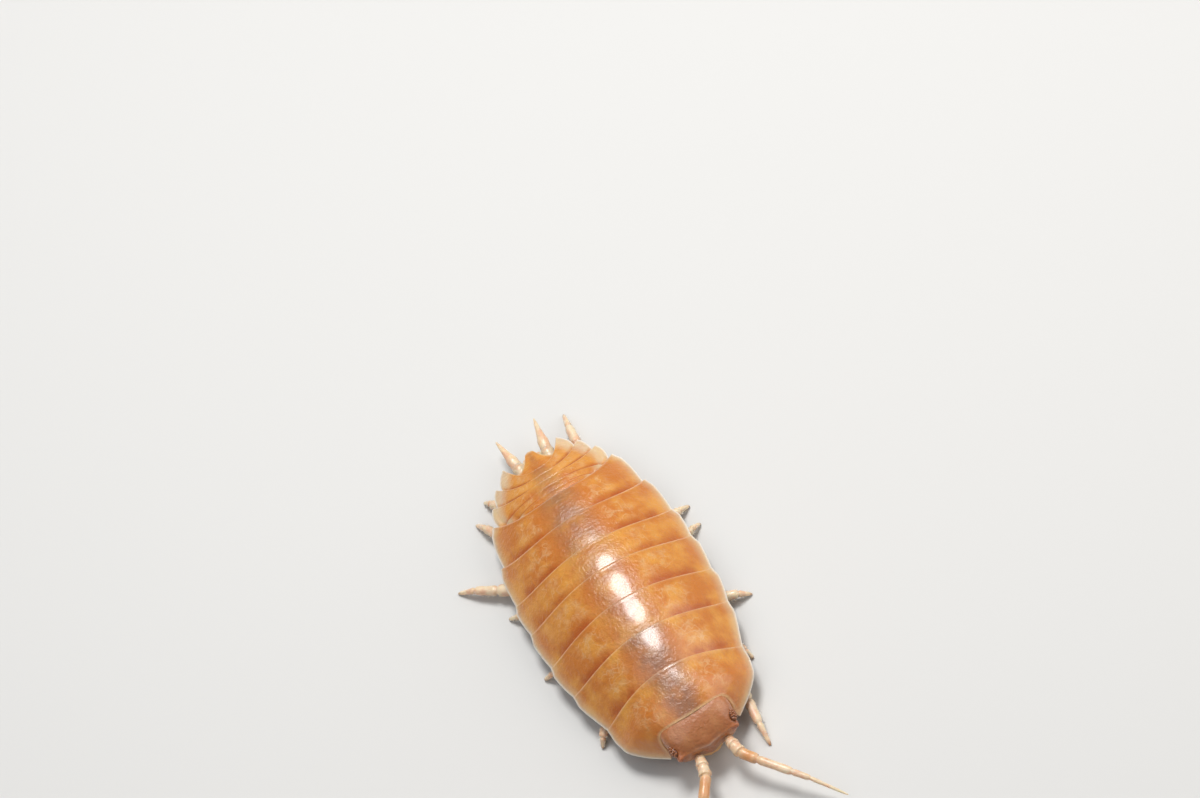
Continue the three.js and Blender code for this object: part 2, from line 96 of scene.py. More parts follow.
def curve_through(points):
    """A smooth function through [place, value] points: a cubic between neighbours, level outside the ends."""
    xs, ys = np.array(points, float).T
    slopes = np.empty_like(ys)
    slopes[1:-1] = (ys[2:] - ys[:-2]) / (xs[2:] - xs[:-2])
    slopes[0] = (ys[1] - ys[0]) / (xs[1] - xs[0])
    slopes[-1] = (ys[-1] - ys[-2]) / (xs[-1] - xs[-2])

    def curve(place):
        """The cubic of the stretch that the place is in, with the slopes at its two ends."""
        at = np.clip(place, xs[0], xs[-1])
        k = np.clip(np.searchsorted(xs, at, side="right") - 1, 0, len(xs) - 2)
        span = xs[k + 1] - xs[k]
        u = (at - xs[k]) / span
        bend = slopes[k] * span * u * (1 - u) ** 2 - slopes[k + 1] * span * u * u * (1 - u)
        return mix(ys[k], ys[k + 1], u * u * (3 - 2 * u)) + bend

    return curve


print("a smooth step at 0, a quarter and 1:", smooth(np.array([0, 0.25, 1])))


# %% Mesh helpers
def grid_faces(rows, columns, closed_columns=False):
    """The four-cornered faces between neighbouring points of a grid, its columns wrapped round if closed."""
    r = np.arange(rows - 1)[:, None] * columns
    c = np.arange(columns if closed_columns else columns - 1)[None, :]
    after = (c + 1) % columns
    return np.stack([r + c, r + after, r + columns + after, r + columns + c], -1).reshape(-1, 4)


class Form:
    """Points, faces and named values per point, gathered before they become one mesh."""

    def __init__(self):
        self.points = []
        self.faces = []
        self.values = []
        self.count = 0

    def add(self, points, faces, **values):
        """Adds a grid of points and its faces, with values that are numbers or arrays that fit the grid."""
        grid = points.shape[:-1]
        self.values.append({k: np.broadcast_to(v, grid).astype(float).ravel() for k, v in values.items()})
        self.points.append(points.reshape(-1, 3))
        self.faces += (faces + self.count).tolist()
        self.count += len(self.points[-1])
        return self


def to_frame(points):
    """Points of the animal in millimetres as points of the model's frame in metres."""
    return (points + np.array([MID_X, START_Y, 0])) * MM


def make_piece(name, form, material, nodes, weld=0.002):
    """One welded, smooth mesh from a form, its faces outwards, riding on the body in place of its nodes.

    The mesh also carries each point's place as (distance from the midline, s, z) in millimetres, and the
    form's named values, which are 0 where a part of the form has none.
    """
    points = np.concatenate(form.points)
    mesh = bpy.data.meshes.new(name)
    mesh.from_pydata(to_frame(points).tolist(), [], form.faces)
    place = np.stack([np.abs(points[:, 0]), points[:, 1], points[:, 2]], 1)
    mesh.attributes.new("place", "FLOAT_VECTOR", "POINT").data.foreach_set("vector", place.ravel())
    for key in sorted({k for part in form.values for k in part}):
        parts = [part.get(key, np.zeros(len(p))) for part, p in zip(form.values, form.points)]
        mesh.attributes.new(key, "FLOAT", "POINT").data.foreach_set("value", np.concatenate(parts))
    piece = bpy.data.objects.new(name, mesh)
    bpy.context.scene.collection.objects.link(piece)
    work = bmesh.new()
    work.from_mesh(mesh)
    bmesh.ops.remove_doubles(work, verts=work.verts, dist=weld * MM)
    bmesh.ops.recalc_face_normals(work, faces=work.faces)
    work.to_mesh(mesh)
    work.free()
    mesh.shade_smooth()
    mesh.materials.append(material)
    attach(piece, "root")
    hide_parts(*nodes)
    print(name, len(mesh.polygons), "faces")
    return piece


# %% [markdown]
# ## Materials
# A woodlouse's cuticle is chitin hardened with chalk and covered with wax, so it is smooth and glossy with
# a refractive index near 1.5, and light soaks into it. The animal's colour is partly pigment and partly the
# muscle seen through the plates. Painting an image would be one way, but formulas on the animal's own
# coordinates stay sharp at any size and are the same from every side. So each material is a ground colour
# with other colours laid over it, each by its own share.

# %% Cloudy patterns
# Each pattern's grains to the millimetre, its detail, and how rough that is. Clouds are 1.1 mm across,
# blotches 0.7 mm, curls 0.5 mm, and patches of muscle 0.4 mm. Waves and pores are the cuticle's unevenness,
# and scales that of a leg. Pores are drawn 0.14 mm across and scales 0.06 mm, coarser than real ones, so
# that they show.
PATTERNS = {
    "clouds": (0.9, 4.0, 0.5),
    "patches": (2.6, 4.0, 0.65),
    "curls": (2.1, 1.5, 0.5),
    "blotches": (1.4, 3.0, 0.5),
    "waves": (3.0, 3.0, 0.68),
    "pores": (7.0, 2.0, 0.5),
    "blush": (2.4, 3.0, 0.5),
    "scales": (16.0, 2.0, 0.5),
    "wrinkles": (10.0, 3.0, 0.5),
}
print(len(PATTERNS), "patterns")


# %% Material helpers
def colour(code):
    """An sRGB hex colour as linear red, green, blue and full alpha."""
    parts = np.array([int(code[i : i + 2], 16) for i in (1, 3, 5)]) / 255
    linear = np.where(parts <= 0.04045, parts / 12.92, ((parts + 0.055) / 1.055) ** 2.4)
    return (*linear.tolist(), 1.0)


def add(tree, kind, inputs=None, output=0, **settings):
    """Adds a node with its settings, fills its inputs with values or links, and gives one of its outputs."""
    node = tree.nodes.new(kind)
    for key, value in settings.items():
        setattr(node, key, value)
    for key, value in (inputs or {}).items():
        if isinstance(value, bpy.types.NodeSocket):
            tree.links.new(value, node.inputs[key])
        else:
            node.inputs[key].default_value = value
    return node.outputs[output] if len(node.outputs) else None


def share_of(tree, patterns, layer):
    """How much a layer covers what is under it: a pattern stepped between two shares, times a mesh zone.

    A layer with a middle steps by the pattern's distance from that value instead, which draws curling lines.
    """
    share = layer.get("share", 1.0)
    if "pattern" in layer:
        value = patterns[layer["pattern"]]
        if "middle" in layer:
            away = add(tree, "ShaderNodeMath", {0: value, 1: layer["middle"]}, operation="SUBTRACT")
            value = add(tree, "ShaderNodeMath", {0: away}, operation="ABSOLUTE")
        (low, high), (first, last) = layer["steps"], share
        inputs = {"Value": value, "From Min": low, "From Max": high, "To Min": first, "To Max": last}
        share = add(tree, "ShaderNodeMapRange", inputs, interpolation_type="SMOOTHSTEP")
    if "zone" in layer:
        zone = add(tree, "ShaderNodeAttribute", output="Fac", attribute_name=layer["zone"])
        share = add(tree, "ShaderNodeMath", {0: zone, 1: share}, operation="MULTIPLY")
    return share


def make_material(name, ground, values, layers=(), relief=None, depth=0.0):
    """A ground colour with layers over it, a bump so many millimetres deep, and plain values set outright.

    The bump's height is the sum of the relief's patterns, each times its own height.
    """
    material = bpy.data.materials.new(name)
    material.use_nodes = True
    tree = material.node_tree
    tree.nodes.clear()
    relief = relief or {}
    place = add(tree, "ShaderNodeAttribute", output="Vector", attribute_name="place")
    patterns = {}
    for key in sorted({layer["pattern"] for layer in layers if "pattern" in layer} | set(relief)):
        grains, detail, rough = PATTERNS[key]
        inputs = {"Vector": place, "Scale": grains, "Detail": detail, "Roughness": rough}
        patterns[key] = add(tree, "ShaderNodeTexNoise", inputs)
    for layer in layers:
        inputs = {0: share_of(tree, patterns, layer), 6: ground, 7: layer["colour"]}
        ground = add(tree, "ShaderNodeMix", inputs, output=2, data_type="RGBA")
    height = 0.0
    for key, tall in relief.items():
        inputs = {0: patterns[key], 1: tall, 2: height}
        height = add(tree, "ShaderNodeMath", inputs, operation="MULTIPLY_ADD")
    bump = add(tree, "ShaderNodeBump", {"Height": height, "Distance": depth * MM, "Strength": 1.0})
    shader = add(tree, "ShaderNodeBsdfPrincipled", {"Base Color": ground, "Normal": bump, **values})
    add(tree, "ShaderNodeOutputMaterial", {"Surface": shader})
    return material


# %% [markdown]
# ## Back cuticle
# Each plate is orange, deeper just behind the lip of the plate before it, partly its own tone and partly
# painted shade under that lip, mottled paler over the muscles, greyer brown on the midline, and nearly
# colourless at its thin edges, with a pale line along its side edges and a faint painted highlight along
# its hind edge. Colours painted by hand would fit one mesh only. The mesh carries those zones as named
# values from simple formulas, and the material only lays colours by them.

# %% Back cuticle
ORANGE = colour("#C37224")
# Deeper orange: the head lobes' own tone. Behind each plate's lip it is partly the cuticle's tone and partly
# painted shade.
DEEP_ORANGE_AND_SHADE = colour("#AC5212")
LIGHT_ORANGE = colour("#D6913A")
PALE_MUSCLE = colour("#D6A672")
BROWN_MIDLINE = colour("#7D5641")
CLEAR_EDGE = colour("#D9C49F")
# A pale line along the plates' side edges, and a painted highlight along their hind edges and the head's
# brow.
PALE_EDGE_AND_HIGHLIGHT = colour("#F3EADC")
RIM_ORANGE = colour("#F0C794")
HEAD_BROWN = colour("#B26B39")
LIGHT_HEAD_BROWN = colour("#C3834E")
BACK_RELIEF = 0.05
WAX = {
    "IOR": 1.52, "Coat Weight": 0.7, "Coat Roughness": 0.15, "Coat IOR": 1.5, "Subsurface Weight": 0.12,
    "Subsurface Radius": (1.0, 0.4, 0.15), "Subsurface Scale": 0.5 * MM,
}


def back_cuticle(name, ground, light, roughness):
    """Waxed cuticle: a mottled ground, the mesh's zones laid over it, fine pores, and a clear glossy coat."""
    muscle = dict(zone="muscle", colour=PALE_MUSCLE)
    blotched = dict(pattern="blotches", steps=(0.35, 0.6))
    layers = [
        dict(pattern="clouds", steps=(0.4, 0.66), share=(0, 1), colour=light),
        dict(muscle, pattern="patches", steps=(0.42, 0.68), share=(0, 0.45)),
        dict(muscle, pattern="curls", middle=0.5, steps=(0, 0.035), share=(0.5, 0)),
        # Deeper orange behind the lip of the plate before, partly the cuticle's tone and partly painted
        # shade.
        dict(blotched, zone="lapped", share=(0.45, 0.95), colour=DEEP_ORANGE_AND_SHADE),
        dict(blotched, zone="midline", share=(0.62, 0.95), colour=BROWN_MIDLINE),
        dict(zone="margin", share=0.8, colour=CLEAR_EDGE),
        # The edge zone: a pale line along the side edges, and a painted highlight along the hind edges and
        # the brow.
        dict(zone="edge", share=0.85, colour=PALE_EDGE_AND_HIGHLIGHT),
        dict(zone="rim", colour=RIM_ORANGE),
    ]
    values = {"Roughness": roughness, **WAX}
    return make_material(name, ground, values, layers, {"pores": 0.55, "waves": 1.0}, BACK_RELIEF)


# Waxed orange cuticle, hardened in place: a wet-looking shine with light soaking in under it.
SHELL = back_cuticle("waxed_orange_cuticle", ORANGE, LIGHT_ORANGE, 0.36)
# The head's cuticle is thicker and browner, with a duller shine.
HEAD_SHELL = back_cuticle("waxed_brown_orange_head_cuticle", HEAD_BROWN, LIGHT_HEAD_BROWN, 0.42)
print("back materials:", SHELL.name, HEAD_SHELL.name)

# %% [markdown]
# ## Limb cuticle, eyes and belly
# The legs and feelers have thin cuticle over pale flesh, so they are cream with a pink or orange tinge, and
# browner at the claws. The eyes are clusters of separate lenses over dark pigment. The belly is pale and
# looks soft. They are made the same way as the back, because their colours too follow zones of the mesh.

# %% Limb, eye and belly materials
LIMB_CREAM = colour("#E4CCAA")
LIMB_PINK = colour("#DBB08F")
LIMB_ORANGE = colour("#CF9054")
CLAW_BROWN = colour("#9A6A3E")
BRISTLE_WHITE = colour("#F3E9DA")
EYE_PIGMENT = colour("#5C2E14")
EYE_LENS = colour("#90552E")
BELLY_CREAM = colour("#DDAE7A")
LIMB_LAYERS = [
    dict(pattern="blush", steps=(0.4, 0.65), share=(0, 1), colour=LIMB_PINK),
    dict(zone="tint", colour=LIMB_ORANGE),
    dict(zone="claw", colour=CLAW_BROWN),
    dict(zone="pale", colour=BRISTLE_WHITE),
]
LIMB_VALUES = {
    "Roughness": 0.34, "IOR": 1.5, "Coat Weight": 0.3, "Coat Roughness": 0.16, "Subsurface Weight": 0.35,
    "Subsurface Radius": (1.2, 0.7, 0.4), "Subsurface Scale": 0.35 * MM,
}
EYE_VALUES = {"Roughness": 0.16, "IOR": 1.5, "Coat Weight": 0.6, "Coat Roughness": 0.08}
BELLY_VALUES = {"Roughness": 0.5, "IOR": 1.4, "Subsurface Weight": 0.2, "Subsurface Scale": 0.3 * MM}
LIMB_RELIEF = 0.012
BELLY_RELIEF = 0.02

# Thin unwaxed cuticle: satin, and nearly see-through, so light soaks in deeply.
LIMB = make_material(
    "thin_cream_limb_cuticle", LIMB_CREAM, LIMB_VALUES, LIMB_LAYERS, {"scales": 1.0}, LIMB_RELIEF
)
# Clear lenses grown over dark pigment: brown, darker between them, with a sharp point of light on each.
EYE = make_material(
    "dark_brown_eye_lenses", EYE_PIGMENT, EYE_VALUES, [dict(zone="lens", colour=EYE_LENS)]
)
# Soft skin between and under the plates, barely shiny.
BELLY = make_material(
    "soft_pale_belly_skin", BELLY_CREAM, BELLY_VALUES, relief={"wrinkles": 1.0}, depth=BELLY_RELIEF
)
print("other materials:", LIMB.name, EYE.name, BELLY.name)

# %% [markdown]
# ## The back's shape
# The outline from above, the ridge from the side and the arch across are the same formulas as the solids',
# so the plates lie where theirs do. A drawn net of points would need fitting to the solids by eye. A
# plate's point is found from how far across it is (-1 to 1), its distance back s, and its depth under the
# arch, measured square to it.

# %% Shape of the back
half_width = curve_through([
    [0.3, 1.66], [0.89, 2.39], [1.55, 2.97], [2.1, 3.14], [2.91, 3.3], [5.07, 3.78], [6.77, 3.94],
    [8.6, 3.94], [10.15, 3.84], [12.07, 3.52], [13.95, 2.95], [14.66, 2.52], [15.36, 1.97], [16.02, 1.27],
    [16.6, 0.8],
])
ridge_height = curve_through([
    [-0.5, 0.75], [0.72, 1.5], [2.81, 2.05], [4.7, 2.28], [6.42, 2.36], [8.12, 2.34], [9.52, 2.2],
    [11.19, 1.95], [12.67, 1.62], [13.73, 1.28], [14.58, 0.95], [15.8, 0.42], [16.6, 0.2],
])


def arch_height(across, s):
    """The ridge's height times one less a power of the distance across, and less by its fourth power too."""
    power = 2 + smooth((2.6 - s) / 2)
    side = np.minimum(1, np.abs(across))
    return ridge_height(s) * (1 - side**power) * (1 - 0.18 * side**4)


def back_point(across, s, depth):
    """A point of the arch, moved inwards by depth along the arch's own square direction."""
    width = half_width(s)
    step = 0.01
    inner = np.clip(np.abs(across), step, 1 - step)
    fall = (arch_height(inner + step, s) - arch_height(inner - step, s)) / (2 * step * width)
    fall = np.where(np.abs(across) < step, 0, fall)
    length = np.hypot(fall, 1)
    x = across * width + np.sign(across) * fall * depth / length
    return np.stack([x, s, LEVEL + arch_height(across, s) - depth / length], -1)


MID_BODY = 7.7
print("at mid body", round(2 * float(half_width(MID_BODY)), 2), "mm wide,",
      round(float(ridge_height(MID_BODY)), 2), "mm from plate edges to ridge")

# %% [markdown]
# ## Back plates
# Seven wide plates cover the trunk and five short ones the tail, each lapping over the next like a roof
# tile. Every plate is one closed sheet: a loop that runs over its top from front to rear, round the lip,
# and back underneath, carried across the animal from one side edge to the other. Extruding a flat outline
# would lose the thin rounded lip that catches the light, so the loop is worked out point by point.

# %% Plate sizes
# The hind edge's s on the midline and at the corners, the reach at the front corner, and how brown the
# midline is. From the seventh on a plate ends in side lobes: its hind corner lies tip mm out, and it comes
# from under the plate before up to root mm out. Ends that dive go under the seventh plate's lobes.
PLATES = {
    "pereonite_1": dict(mid=2.81, corner=2.91, front=1, brown=0.8),
    "pereonite_2": dict(mid=4.7, corner=5.07, front=0.98, brown=0.8),
    "pereonite_3": dict(mid=6.42, corner=6.77, front=0.98, brown=0.5),
    "pereonite_4": dict(mid=8.12, corner=8.6, front=0.98, brown=0.4),
    "pereonite_5": dict(mid=9.52, corner=10.15, front=0.98, brown=0.5),
    "pereonite_6": dict(mid=11.19, corner=12.07, front=0.98, brown=0.6),
    "pereonite_7": dict(mid=12.67, corner=13.95, front=0.95, brown=0.7, tip=2.92),
    "pleonite_1": dict(mid=12.99, corner=12.99, front=1, brown=0.5, tip=1.8, root=1.8, dives=1),
    "pleonite_2": dict(mid=13.36, corner=13.36, front=1, brown=0.5, tip=2.35, root=2.35, dives=1),
    "pleonite_3": dict(mid=13.76, corner=14.68, front=1, brown=0.45, tip=2.5, root=2.66),
    "pleonite_4": dict(mid=14.17, corner=15.4, front=1, brown=0.45, tip=1.98, root=2.3),
    "pleonite_5": dict(mid=14.6, corner=16.06, front=1, brown=0.45, tip=1.3, root=1.75),
}
LAST_TRUNK = PLATES["pereonite_7"]
# The sheet's thickness at its edges and inside them, how deep its front goes under the plate before and how
# much of its length is hidden there, how far its middle swells, and the share of this that the tail's
# plates have.
LIP = 0.055
BODY_PLATE = 0.16
RISE = 0.075
HIDDEN = 0.3
BULGE = 0.03
TAIL_THINNING = 0.6
# The share of the way across over which a side edge rounds off.
SIDE_ROUNDING = 0.035
ACROSS_STEPS = 140
TOP_STEPS = 44
LIP_STEPS = 5
print(len(PLATES), "plates of", ACROSS_STEPS, "steps across")


# %% Plate edges
def edge_at(plate, x):
    """The s of a lobed plate's hind edge, x mm out: swept back with the cube of the distance."""
    return mix(plate["mid"], plate["corner"], np.minimum(1, np.abs(x) / plate["tip"]) ** 3)


def edge_point(x, s):
    """A point x mm out as (share of the half-width, s)."""
    return x / half_width(s), s


def hind_edge(plate):
    """The hind edge as (share of the half-width, s) by the place from -1 to 1, swept back with its cube."""
    if "tip" not in plate:
        return lambda place: (place, mix(plate["mid"], plate["corner"], np.abs(place) ** 3))
    return lambda place: edge_point(plate["tip"] * place, edge_at(plate, plate["tip"] * place))


def covering_edge(plate, before):
    """The edge a plate comes out from under: of the one before, or of the seventh where further back."""
    if "root" not in plate:
        return hind_edge(before)

    def edge(place):
        """The hindmost of the two edges, as far out as the plate's root goes."""
        x = plate["root"] * place
        covered = np.where(np.abs(x) <= before["tip"], edge_at(before, x), 0)
        return edge_point(x, np.maximum(covered, edge_at(LAST_TRUNK, x)))

    return edge


def first_front_edge(place):
    """The first plate's front edge: gently arched behind the head, then out to a lobe beside each eye."""
    side = np.abs(place)
    arched = mix(0.72, 0.87, np.square(side / 0.6))
    return place, np.where(side < 0.6, arched, mix(0.87, 0.3, smooth((side - 0.6) / 0.4)))


def swell(plate, inside):
    """How far out a plate reaches along its length: least at its front corner, rounded at its hind one."""
    out = mix(plate["front"], 1, np.sin(np.clip(inside * 1.25, 0, 1) * np.pi / 2))
    return out - (0.012 if "root" in plate else 0.025) * smooth((inside - 0.75) / 0.25)


print("the seventh plate's corners reach s =", edge_at(LAST_TRUNK, LAST_TRUNK["tip"]), "mm")


# %% Plate thickness and depth
def sheet_loop(start):
    """The way round a sheet: over its top, round the lip, back underneath, and round the front lip.

    Each step has the share of the plate's length, how far under the top it is (0 to 1), and how far out
    beyond the edge (-1 to 1). Round a lip the last two follow the cosine and sine of the turn.
    """
    over = np.linspace(0, 1, TOP_STEPS) ** 0.8
    back = over[::2]
    turn = np.linspace(0, np.pi, LIP_STEPS + 2)[1:-1]
    lip = (1 - np.cos(turn)) / 2
    share = [mix(start, 1, over), np.ones(LIP_STEPS), mix(1, start, back), np.full(LIP_STEPS, start)]
    under = [0 * over, lip, 1 + 0 * back, 1 - lip]
    out = [0 * over, np.sin(turn), 0 * back, -np.sin(turn)]
    return (np.concatenate(parts)[None, :] for parts in (share, under, out))


def plate_thickness(plate, side, inside, covered):
    """Thin at each free edge and thicker inside: between lip and body by smooth steps."""
    lip = LIP * (TAIL_THINNING if "tip" in plate else 1)
    thick = mix(lip, BODY_PLATE, smooth((1 - inside) / 0.3) * (1 - side**6))
    return thick if covered else mix(lip, thick, smooth(inside / 0.3))


def sink_at(plate, x):
    """How deep a plate's hind edge lies under the back: not at all, but for ends that dive."""
    if "dives" not in plate:
        return 0 * x
    strip = edge_at(plate, x) - edge_at(LAST_TRUNK, x)
    return 1.3 * RISE * (1 - smooth(strip / 0.2)) * (1 - smooth((np.abs(x) - plate["tip"]) / 0.2))


def plate_depth(plate, cover, side, share, x, length):
    """How deep the top lies: the front dives under the plate before, the middle swells, edges have a rim."""
    inside = np.clip(share, 0, 1)
    swelling = BULGE * smooth(length / 1.4) * np.sin(np.pi * inside) * (1 - side**4)
    rim = 0.012 * (bell((inside - 0.97) / 0.02) + bell((side - 0.96) / 0.02))
    if cover is None:
        return -swelling - rim - 0.02 * bell((inside - 0.03) / 0.02)
    rise = RISE * (TAIL_THINNING if "root" in plate else 1) + sink_at(cover, x)
    dive = mix(sink_at(plate, x), rise, (1 - inside) ** 1.4) + 0.2 * np.clip(-share, 0, 1)
    return dive - swelling - rim


# %% Plate zones
def plate_zones(plate, cover, side, inside):
    """The zones of colour: smooth steps and bells of how far out and how far along the plate a point is."""
    lobe = 0.85 * smooth((side - 0.74) / 0.2) * smooth(inside / 0.3) if "root" in plate else 0
    flank = 0.7 * smooth((side - 0.88) / 0.11)
    # Hem: a pale band at the hind edge, partly the thin edge's clearness and partly painted highlight.
    hem = 0.15 * smooth((inside - 0.93) / 0.07)
    muscle = smooth((side - 0.28) / 0.12) * smooth((0.72 - side) / 0.12)
    zones = dict(
        margin=np.maximum(np.maximum(flank, hem), lobe),
        # Edge: a pale line along the side edge, and a faint painted highlight along the hind edge.
        edge=np.maximum(bell((side - 1) / 0.018), bell((inside - 1) / 0.014) * 0.12),
        # Lapped: a deeper band just behind the lip of the plate before, partly the plate's own tone and
        # partly painted shade under that lip.
        lapped=smooth((0.34 - inside) / 0.3) * smooth((side - 0.2) / 0.25) * smooth((0.9 - side) / 0.12),
        muscle=muscle * smooth((inside - 0.12) / 0.2) * smooth((0.94 - inside) / 0.15),
        midline=plate["brown"] * smooth((0.38 - side) / 0.3),
    )
    if cover is None:
        # On the first plate the band lies behind the head, and is partly painted shade under the head's hind
        # edge.
        zones["lapped"] = 0.4 * smooth((0.2 - inside) / 0.2) * smooth((0.9 - side) / 0.12)
        zones["rim"] = 0.75 * bell((inside - 0.01) / 0.018) * (1 - side**8)
    return zones


# %% Make the plates
def plate_form(plate, cover):
    """A closed sheet: the loop round it, carried across the animal from one side edge to the other."""
    front = covering_edge(plate, cover) if cover else first_front_edge
    share, under, out = sheet_loop(-HIDDEN if cover else 0.0)
    line = np.sin(np.linspace(-np.pi / 2, np.pi / 2, ACROSS_STEPS))[:, None]
    side, inside = np.abs(line), np.clip(share, 0, 1)
    place = line * swell(plate, inside)
    (front_across, front_s), (rear_across, rear_s) = front(place), hind_edge(plate)(place)
    across = mix(front_across, rear_across, inside)
    closing = round_off((side - 1 + SIDE_ROUNDING) / SIDE_ROUNDING)
    thick = plate_thickness(plate, side, inside, bool(cover))
    s = mix(front_s, rear_s, share) + out * thick * 0.5 * closing
    depth = plate_depth(plate, cover, side, share, across * half_width(s), rear_s - front_s)
    points = back_point(across, s, depth + thick * (under * closing + 0.5 * (1 - closing)))
    faces = grid_faces(*points.shape[:2], closed_columns=True)
    return Form().add(points, faces, **plate_zones(plate, cover, side, inside))


cover = None
for name, plate in PLATES.items():
    make_piece(f"{name}_plate", plate_form(plate, cover), SHELL, [name])
    cover = plate

# %% [markdown]
# ## Telson
# The last plate is a short triangle with hollow sides and a rounded tip. A cone cut flat would be too
# thick, so it is a sheet of the same kind as the plates, its half-width shrinking to the tip by a power of
# what is left of its length.

# %% Make the telson
TELSON_HALF = 0.95
TELSON_TIP_HALF = 0.2


def telson_form():
    """A closed sheet, its half-width a power of the distance left to the tip, rounded at its end."""
    share = np.linspace(-0.15, 1, 40)[None, :]
    line = np.sin(np.linspace(-np.pi / 2, np.pi / 2, 41))[:, None]
    left = np.clip(1 - share, 0, 1)
    tip = TELSON_TIP_HALF * np.clip(share, 0, 1) * round_off((share - 0.84) / 0.16)
    x = line * (TELSON_HALF * left**1.4 + tip)
    s = mix(edge_at(PLATES["pleonite_5"], x), TELSON_TIP, share)
    ground = back_point(x / half_width(s), s, 0)[..., 2]
    sink = RISE * left**1.4 - 0.03 * smooth(left / 0.3) * (1 - line**2)
    thick = mix(0.08, 0.18, left) * np.sqrt(np.clip(1 - line**4, 0, 1)) * smooth(left / 0.05)
    rim = np.maximum(smooth((np.abs(line) - 0.8) / 0.2), smooth((share - 0.85) / 0.15))
    zones = dict(midline=0.3 * smooth((0.5 - np.abs(line)) / 0.5), margin=rim * 0.9)
    faces = grid_faces(*x.shape)
    form = Form().add(np.stack([x, s, ground - sink], -1), faces, **zones)
    return form.add(np.stack([x, s, ground - sink - thick], -1), faces[:, ::-1], **zones)


make_piece("telson_plate", telson_form(), SHELL, ["telson"])

# %% [markdown]
# ## Belly
# Under the plates the body is soft and flat, with a crease between segments and overlapping flaps, the
# gills, under the tail. A piece for each segment would show a seam between them, so one skin stands for it
# all. It is a flattened tube along the body, pinched in where each segment ends.

# %% Make the belly
SEGMENT_ENDS = np.array([plate["mid"] for plate in PLATES.values()])
BELLY_START = 1.0
BELLY_END = 15.3


def belly_form():
    """A tube of boxy rings from the neck to the tail, its width a share of the back's half-width."""
    s = np.linspace(BELLY_START, BELLY_END, 260)[:, None]
    crease = bell((s[..., None] - SEGMENT_ENDS + 0.1) / 0.07).sum(-1)
    half = half_width(s) * 0.5 * np.sqrt(np.clip((s - 0.9) / 0.4, 0, 1)) * (1 - 0.03 * crease)
    half = half * np.sqrt(np.clip((15.5 - s) / 1.2, 0, 1))
    high = LEVEL + ridge_height(s) * 0.6
    low = np.minimum(mix(1.25, 1.2, smooth((s - 12.5) / 0.5)) + 0.05 * crease, high - 0.1)
    sideways, upward = boxy_ring(np.linspace(0, 2 * np.pi, 64, endpoint=False)[None, :], 0.7)
    x = sideways * half
    z = (low + high) / 2 + upward * (high - low) / 2
    points = np.stack([x, s + 0 * x, z], -1)
    front, rear = (row.mean(1, keepdims=True) + 0 * row for row in (points[:1], points[-1:]))
    points = np.concatenate([front, points, rear])
    return Form().add(points, grid_faces(*points.shape[:2], closed_columns=True))


make_piece("belly_skin", belly_form(), BELLY, list(PLATES))

# %% [markdown]
# ## Head
# The head is a short box set into the first plate, with a low lobe in the middle of its brow, a round lobe
# at each front corner, and an eye at each side. Sculpting it would hide its sizes. It is one closed skin
# instead: boxy rings from the neck forwards, pushed out or in by soft bell-shaped bumps where the lobes,
# the lip and the sockets are.

# %% Head shape
# Each ring's s, its half-width, and its top's and its underside's height over the plate edges, front to
# rear.
HEAD_RINGS = np.array([
    [-0.45, 0.5, 0.58, 0.2], [-0.38, 1.02, 0.76, 0.02], [-0.24, 1.28, 0.92, -0.12], [-0.05, 1.42, 1.1, -0.2],
    [0.2, 1.5, 1.27, -0.22], [0.5, 1.56, 1.4, -0.18], [0.82, 1.57, 1.47, -0.1], [1.12, 1.5, 1.48, 0.05],
    [1.5, 1.3, 1.4, 0.2],
])
# Each bump is a centre (x, s, height over the plate edges), a push, and a radius. Those off the midline are
# doubled.
BUMPS = [
    ((0, -0.36, 0.7), (0, -0.08, 0.03), 0.26),
    ((1.26, -0.16, 0.56), (0.1, -0.2, 0.02), 0.17),
    ((1.3, 0.1, 0.72), (-0.05, 0, 0), 0.28),
    ((0.62, -0.42, 0.2), (0, 0.12, 0), 0.16),
    ((0, -0.4, 0.02), (0, -0.08, -0.06), 0.24),
    ((0.2, -0.46, 0.42), (0, -0.08, 0), 0.08),
]


